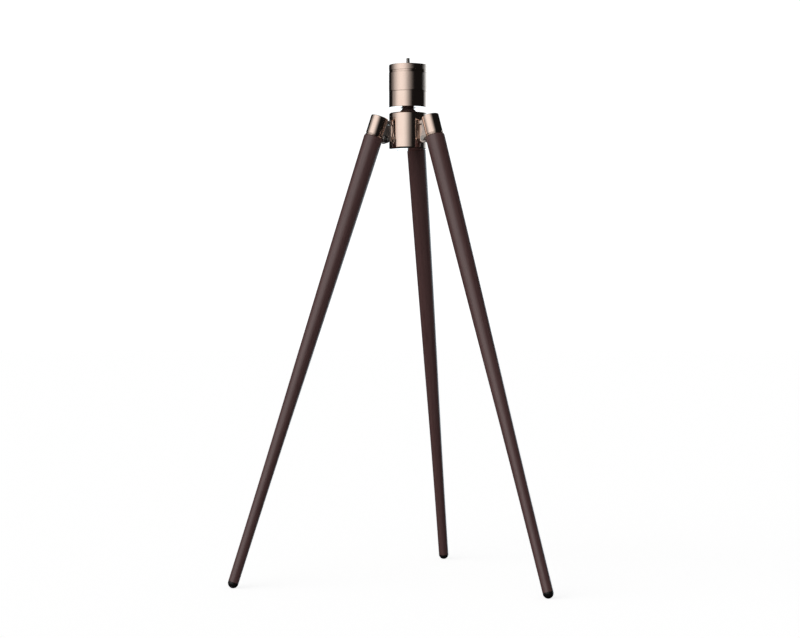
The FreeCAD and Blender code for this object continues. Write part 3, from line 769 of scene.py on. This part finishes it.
def lock_band():
    low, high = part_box("lock_ring")
    flange = high.z - 5.8 * MM
    points = outline([
        (LOCK_INNER, low.z),
        (HEAD_RADIUS, low.z, 0.35 * MM),
        (HEAD_RADIUS, low.z + 0.9 * MM),
        (HEAD_RADIUS, low.z + 1.4 * MM),
        (HEAD_RADIUS, high.z - 1.4 * MM),
        (HEAD_RADIUS, high.z - 0.9 * MM),
        (HEAD_RADIUS, high.z, 0.35 * MM),
        (12.8 * MM, high.z),
        (12.8 * MM, flange),
        (LOCK_INNER, flange),
    ], loop=True)
    relief = fluted(HEAD_RADIUS, low.z + 0.9 * MM, high.z - 0.9 * MM)
    mesh_data = lathe(points, FLUTES * FLUTE_STEPS, loop=True, relief=relief)
    finished("lock_band", mesh_data, AXIS, "lock", CHAMPAGNE, ["lock_ring"])


def platform_disc():
    low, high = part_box("platform")
    radius = (high - low).x / 2
    pad_radius = 27.5 * MM
    points = outline([
        (7.06 * MM, low.z),
        (radius, low.z, 0.6 * MM),
        (radius, low.z + 0.9 * MM),
        (radius, low.z + 1.4 * MM),
        (radius, high.z - 1.6 * MM),
        (radius, high.z - 1.1 * MM),
        (radius, high.z, 0.8 * MM),
        (pad_radius, high.z, 0.2 * MM),
        (pad_radius, high.z - 1.2 * MM),
        (12 * MM, high.z - 1.2 * MM),
        (12 * MM, high.z - 7 * MM),
        (7.06 * MM, high.z - 7 * MM),
    ], loop=True)
    relief = fluted(radius, low.z + 0.9 * MM, high.z - 1.1 * MM)
    mesh_data = lathe(points, FLUTES * FLUTE_STEPS, loop=True, relief=relief)
    finished("platform_disc", mesh_data, AXIS, "top", CHAMPAGNE, ["platform"])


def platform_mat():
    """Rubber pad with raised rings."""
    low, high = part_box("platform_pad")
    outer, inner = (high - low).x / 2, 5.1 * MM
    points = [(inner, low.z), (outer, low.z), (outer, high.z, 0.2 * MM)]
    ring = outer - 1.6 * MM
    while ring > inner + 2.5 * MM:
        points += [(ring, high.z, 0.15 * MM), (ring - 0.3 * MM, high.z - 0.4 * MM, 0.1 * MM)]
        points += [(ring - 0.8 * MM, high.z - 0.4 * MM, 0.1 * MM), (ring - 1.1 * MM, high.z, 0.15 * MM)]
        ring -= 2.6 * MM
    points.append((inner, high.z, 0.1 * MM))
    finished("platform_mat", lathe(outline(points, loop=True, hold=0.05 * MM), 192, loop=True),
             AXIS, "top", PAD, ["platform_pad"])


THREAD_PITCH = 1.27 * MM
THREAD_DEPTH = 0.7 * MM


def camera_stud():
    """Quarter-inch stud with its thread, on a flange that the pad covers."""
    low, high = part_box("camera_screw")
    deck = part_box("platform")[1].z
    flange_top = deck - 1.2 * MM
    crest = 3.175 * MM
    points = outline([
        (0, low.z),
        (11.9 * MM, low.z, 0.3 * MM),
        (11.9 * MM, flange_top),
        (5 * MM, flange_top),
        (5 * MM, deck, 0.3 * MM),
        (crest, deck),
    ])
    rows = int((high.z - deck) / (THREAD_PITCH / 10))
    for row in range(1, rows):
        points.append((crest, deck + (high.z - deck) * row / rows))
    points += [(crest, high.z), (0, high.z)]

    def relief(radius, height, angle):
        if height <= deck or radius > crest * 1.001:
            return radius
        turn = (height / THREAD_PITCH - angle / (2 * math.pi)) % 1.0
        groove = max(0.0, min(1.0, 1.35 * (1 - abs(2 * turn - 1)) - 0.15))
        cut = crest - THREAD_DEPTH * groove
        nose = crest - max(0.0, height - (high.z - 0.9 * MM))
        foot = crest - THREAD_DEPTH if height - deck < 0.5 * MM else crest
        return min(cut, nose, foot)

    finished("camera_stud", lathe(points, 96, relief=relief), AXIS, "top", STEEL,
             ["camera_screw"])


ball_and_stem()
head_shell()
lock_band()
platform_disc()
platform_mat()
camera_stud()


# ---------------------------------------------------------------- CAD pieces that stay
KEPT_LOOK = {
    "steel": STEEL,
    "liner": LINER,
    "dark_metal": DARK_METAL,
    "champagne_metal": CHAMPAGNE,
    "rubber": RUBBER,
    "pad": PAD,
    "wood": WOOD["rear"],
}
slot_of = {part["node"]: part["material_slot"] for part in frame["record"]["subparts"]}
for name, node in frame["nodes"].items():
    node.data.materials.clear()
    node.data.materials.append(KEPT_LOOK[slot_of[name]])


# ---------------------------------------------------------------- studio and camera
VIEW_AZIMUTH = math.radians(12.85)
VIEW_DISTANCE = 3.181
VIEW_SHIFT = -0.0136
VIEW_HEIGHT = 0.439
VIEW_RISE = 0.00135
to_camera = Vector((math.sin(VIEW_AZIMUTH), -math.cos(VIEW_AZIMUTH), 0))
to_right = Vector((math.cos(VIEW_AZIMUTH), math.sin(VIEW_AZIMUTH), 0))

camera = bpy.data.objects.new("camera", bpy.data.cameras.new("camera"))
camera.data.lens = 85
camera.data.sensor_width = 36
camera.data.clip_end = 60
camera.data.shift_y = VIEW_RISE
camera.location = axis_point + to_right * VIEW_SHIFT + to_camera * VIEW_DISTANCE
camera.location.z = VIEW_HEIGHT
camera.rotation_euler = (math.pi / 2, 0, VIEW_AZIMUTH)
bpy.context.scene.collection.objects.link(camera)
bpy.context.scene.camera = camera
bpy.context.scene.view_settings.view_transform = "Standard"
bpy.context.scene.view_settings.look = "None"

# Studio round the object: degrees from the camera's side (positive to its right) and light.
SOFTBOX = (
    (-180, 0.0), (-114, 0.0), (-100, 0.31), (-89, 0.36), (-72, 0.80), (-58, 1.0),
    (-28, 1.0), (-14, 0.80), (2, 0.38), (14, 0.12), (24, 0.0), (180, 0.0),
)
BACKDROP = (
    (-180, 1.0), (-172, 1.0), (-160, 0.0), (106, 0.0), (113, 0.11), (130, 0.53), (147, 0.94),
    (180, 1.0),
)
SOFTBOX_BAND = (-2, 52, 3)
BACKDROP_BAND = (-14, 9, 5)
SOFTBOX_COLOUR = (1.0, 0.99, 0.98, 1)
BACKDROP_COLOUR = (1.35, 1.6, 1.75, 1)
DARK = 0.008
SOFT_FILL = 0.13
FLOOR_GLOW = 0.755


def studio():
    """A soft box in front, a low white backdrop behind, dark elsewhere; white to the camera."""
    world = bpy.data.worlds.new("studio")
    world.use_nodes = True
    tree = world.node_tree
    tree.nodes.clear()

    def add(kind, inputs=None, **settings):
        node = tree.nodes.new(kind)
        for key, value in settings.items():
            setattr(node, key, value)
        for key, value in (inputs or {}).items():
            if isinstance(value, bpy.types.NodeSocket):
                tree.links.new(value, node.inputs[key])
            else:
                node.inputs[key].default_value = value
        return node

    def combine(operation, first, second):
        return add("ShaderNodeMath", {0: first, 1: second}, operation=operation).outputs[0]

    def step(value, start, stop, low, high):
        inputs = {0: value, 1: math.radians(start), 2: math.radians(stop), 3: low, 4: high}
        return add("ShaderNodeMapRange", inputs, interpolation_type="SMOOTHSTEP").outputs[0]

    way = add("ShaderNodeTexCoord").outputs["Generated"]
    right = add("ShaderNodeVectorMath", {0: way, 1: to_right}, operation="DOT_PRODUCT")
    near = add("ShaderNodeVectorMath", {0: way, 1: to_camera}, operation="DOT_PRODUCT")
    turn = combine("ARCTAN2", right.outputs["Value"], near.outputs["Value"])
    share = add("ShaderNodeMapRange", {0: turn, 1: -math.pi, 2: math.pi}).outputs[0]
    height = add("ShaderNodeSeparateXYZ", {0: way}).outputs[2]
    rise = add("ShaderNodeMath", {0: height}, operation="ARCSINE").outputs[0]

    def band(lights, low, high, fade, colour):
        """Light that changes with azimuth, between two heights in degrees."""
        ramp = add("ShaderNodeValToRGB", {0: share})
        stops = ramp.color_ramp.elements
        while len(stops) < len(lights):
            stops.new(0.5)
        for stop, (degrees, light) in zip(stops, lights):
            stop.position = (degrees + 180) / 360
            stop.color = (light, light, light, 1)
        window = combine("MULTIPLY", step(rise, low - fade, low, 0, 1),
                         step(rise, high, high + fade, 1, 0))
        level = combine("MULTIPLY", ramp.outputs[0], window)
        return add("ShaderNodeBackground", {0: colour, 1: level}).outputs[0]

    softbox = band(SOFTBOX, *SOFTBOX_BAND, SOFTBOX_COLOUR)
    backdrop = band(BACKDROP, *BACKDROP_BAND, BACKDROP_COLOUR)
    path = add("ShaderNodeLightPath")
    fill = add("ShaderNodeMapRange", {0: path.outputs["Is Diffuse Ray"], 3: DARK, 4: SOFT_FILL})
    dark = add("ShaderNodeBackground", {0: (1, 1, 1, 1), 1: fill.outputs[0]}).outputs[0]
    lights = add("ShaderNodeAddShader", {0: softbox, 1: backdrop}).outputs[0]
    lit = add("ShaderNodeAddShader", {0: lights, 1: dark})
    white = add("ShaderNodeBackground", {0: (1, 1, 1, 1), 1: 1.1})
    shown = add("ShaderNodeMixShader", {
        0: path.outputs["Is Camera Ray"],
        1: lit.outputs[0],
        2: white.outputs[0],
    })
    add("ShaderNodeOutputWorld", {0: shown.outputs[0]})
    bpy.context.scene.world = world


def pale_floor():
    mesh_data = bmesh.new()
    bmesh.ops.create_circle(mesh_data, cap_ends=True, segments=96, radius=25)
    mesh = bpy.data.meshes.new("floor")
    mesh_data.to_mesh(mesh)
    mesh_data.free()
    floor = bpy.data.objects.new("floor", mesh)
    floor.location.z = -0.02 * MM
    bpy.context.scene.collection.objects.link(floor)
    nodes = Nodes("floor")
    nodes.wire("Base Color", (0.9, 0.9, 0.9, 1))
    nodes.wire("Roughness", 0.9)
    nodes.wire("Specular IOR Level", 0.0)
    nodes.wire("Emission Color", (1, 1, 1, 1))
    nodes.wire("Emission Strength", FLOOR_GLOW)
    mesh.materials.append(nodes.material)
    floor.visible_glossy = False
    floor.visible_diffuse = False


studio()
pale_floor()
